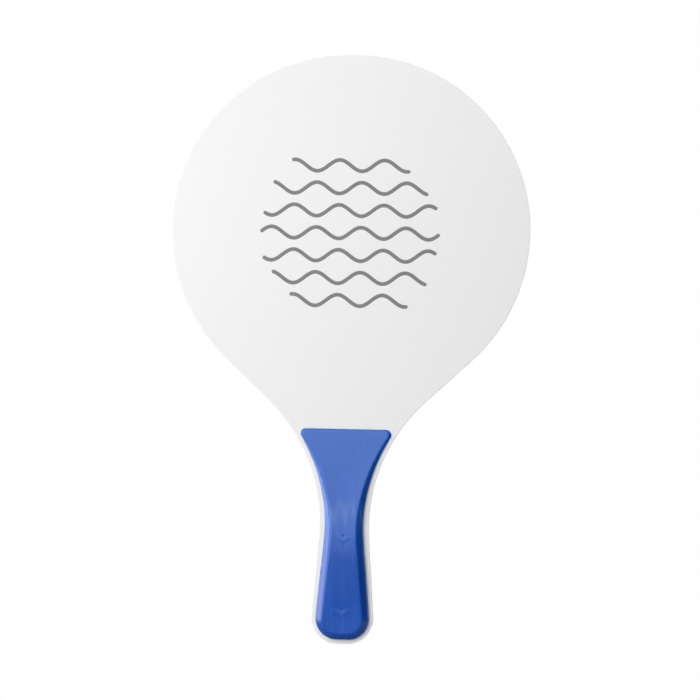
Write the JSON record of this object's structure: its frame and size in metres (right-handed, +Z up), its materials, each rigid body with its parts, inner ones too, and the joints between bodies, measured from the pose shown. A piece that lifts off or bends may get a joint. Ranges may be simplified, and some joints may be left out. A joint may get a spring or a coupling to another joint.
{
  "type": "beach tennis racket",
  "caption": "Flat round-headed beach paddle: a white board whose flared tang carries a blue moulded grip shell on each side, held by screws.",
  "frame": {"origin": "middle of the butt's end, at the bottom of the racket held upright", "axes": "+Z up the racket from butt to crown, +X to the right across the head seen from the front, -Y out of the front face"},
  "size_m": [0.232, 0.019, 0.3799],
  "materials": {
    "board_lacquer": "white satin lacquer on fibreboard",
    "grip_plastic": "moulded, low sheen",
    "screw_steel": "zinc plated"
  },
  "bodies": {
    "root": {"blade": "board_lacquer", "front_grip_shell": "grip_plastic", "rear_grip_shell": "grip_plastic", "upper_grip_screw": "screw_steel", "lower_grip_screw": "screw_steel"}
  },
  "joints": []
}
